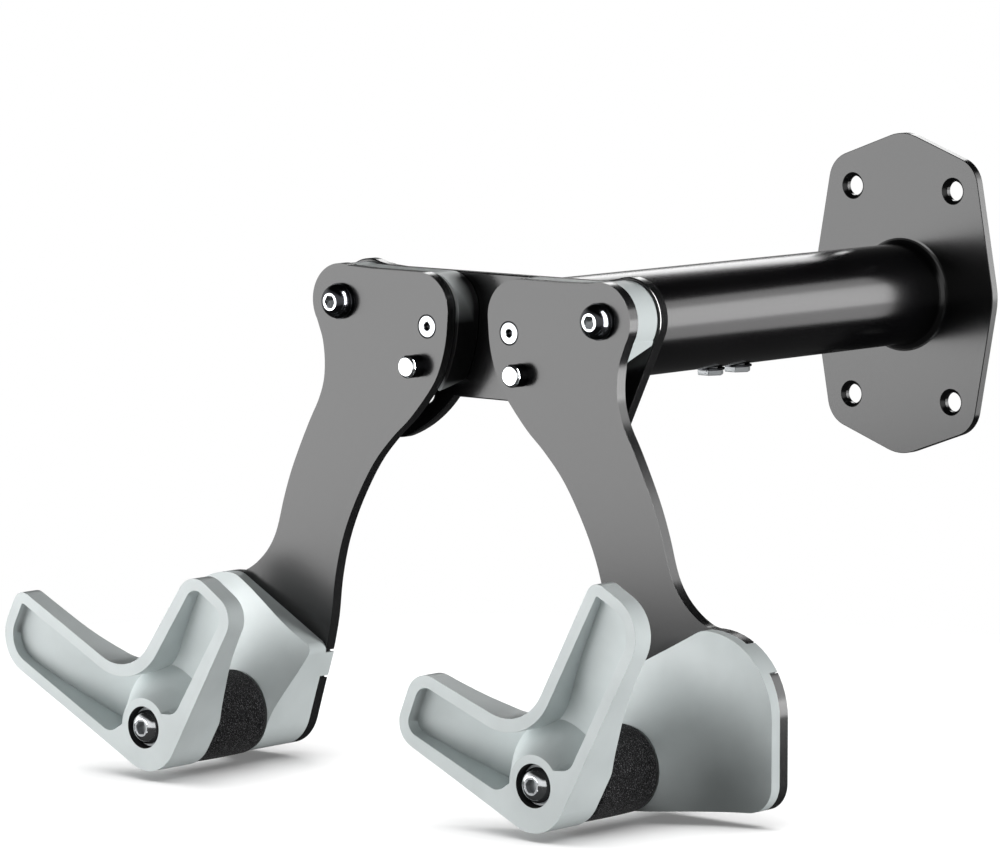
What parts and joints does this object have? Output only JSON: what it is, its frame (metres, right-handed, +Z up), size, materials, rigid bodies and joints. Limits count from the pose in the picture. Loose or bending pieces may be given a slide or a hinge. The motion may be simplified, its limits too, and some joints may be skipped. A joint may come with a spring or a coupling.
{
  "type": "bike wall mount",
  "caption": "Wall mount for a bicycle: oval wall plate, telescopic tube, and a head with two swinging arms that end in shields, foam sleeves and turning V hooks.",
  "frame": {"origin": "centre of the wall plate's back face, on the tube's axis", "axes": "+Y points into the wall, +Z up, +X to the right as seen from the room; the mount reaches out along -Y"},
  "size_m": [0.3376, 0.3706, 0.2427],
  "materials": {
    "black_coat": "fine matt powder coat",
    "tube_coat": "thin smooth black coat",
    "grey_plastic": "satin moulded",
    "black_foam": "open grain foam",
    "black_rubber": "smooth",
    "zinc_steel": "bright zinc plate",
    "dark_steel": "polished black oxide",
    "bright_steel": "polished",
    "nylon": "smooth"
  },
  "bodies": {
    "wall_side": {"wall_plate": "black_coat", "wall_weld": "black_coat", "main_tube": "black_coat", "lock_bolts": "zinc_steel", "lock_washers": "zinc_steel", "clamp_bar": "dark_steel"},
    "head": {"inner_tube": "tube_coat", "head_plate": "black_coat", "head_weld": "black_coat", "left_pivot_bolt": "dark_steel", "left_pivot_washers": "dark_steel", "left_pivot_bush": "zinc_steel", "left_pivot_nut": "zinc_steel", "right_pivot_bolt": "dark_steel", "right_pivot_washers": "dark_steel", "right_pivot_bush": "zinc_steel", "right_pivot_nut": "zinc_steel"},
    "left_arm": {"left_arm_plate": "black_coat", "left_spacer": "grey_plastic", "left_spacer_screw": "zinc_steel", "left_spacer_nut": "zinc_steel", "left_pin_ring": "black_rubber", "left_shield": "grey_plastic", "left_core_tube": "zinc_steel", "left_foam_sleeve": "black_foam", "left_hook_bolt": "dark_steel", "left_hook_washers": "dark_steel", "left_swivel_washer": "nylon", "left_hook_nut": "zinc_steel"},
    "left_pin": {"left_lock_pin": "bright_steel"},
    "left_cradle": {"left_hook": "grey_plastic"},
    "right_arm": {"right_arm_plate": "black_coat", "right_spacer": "grey_plastic", "right_spacer_screw": "zinc_steel", "right_spacer_nut": "zinc_steel", "right_pin_ring": "black_rubber", "right_shield": "grey_plastic", "right_core_tube": "zinc_steel", "right_foam_sleeve": "black_foam", "right_hook_bolt": "dark_steel", "right_hook_washers": "dark_steel", "right_swivel_washer": "nylon", "right_hook_nut": "zinc_steel"},
    "right_pin": {"right_lock_pin": "bright_steel"},
    "right_cradle": {"right_hook": "grey_plastic"}
  },
  "joints": [
    {"name": "head_reach", "type": "slide", "parent": "wall_side", "child": "head", "axis": [0, -1, 0], "range_m": [0, 0.07]},
    {"name": "left_arm_swing", "type": "hinge", "parent": "head", "child": "left_arm", "pos_m": [-0.0678, -0.28, 0.0124], "axis": [0, 1, 0], "range_deg": [0, 40]},
    {"name": "left_pin_push", "type": "slide", "parent": "left_arm", "child": "left_pin", "axis": [0, 1, 0], "range_m": [0, 0.005]},
    {"name": "left_hook_turn", "type": "hinge", "parent": "left_arm", "child": "left_cradle", "pos_m": [-0.1022, -0.356, -0.155], "axis": [0, 1, 0], "continuous": true},
    {"name": "right_arm_swing", "type": "hinge", "parent": "head", "child": "right_arm", "pos_m": [0.0678, -0.28, 0.0124], "axis": [0, -1, 0], "range_deg": [0, 40]},
    {"name": "right_pin_push", "type": "slide", "parent": "right_arm", "child": "right_pin", "axis": [0, 1, 0], "range_m": [0, 0.005]},
    {"name": "right_hook_turn", "type": "hinge", "parent": "right_arm", "child": "right_cradle", "pos_m": [0.1022, -0.356, -0.155], "axis": [0, -1, 0], "continuous": true}
  ]
}
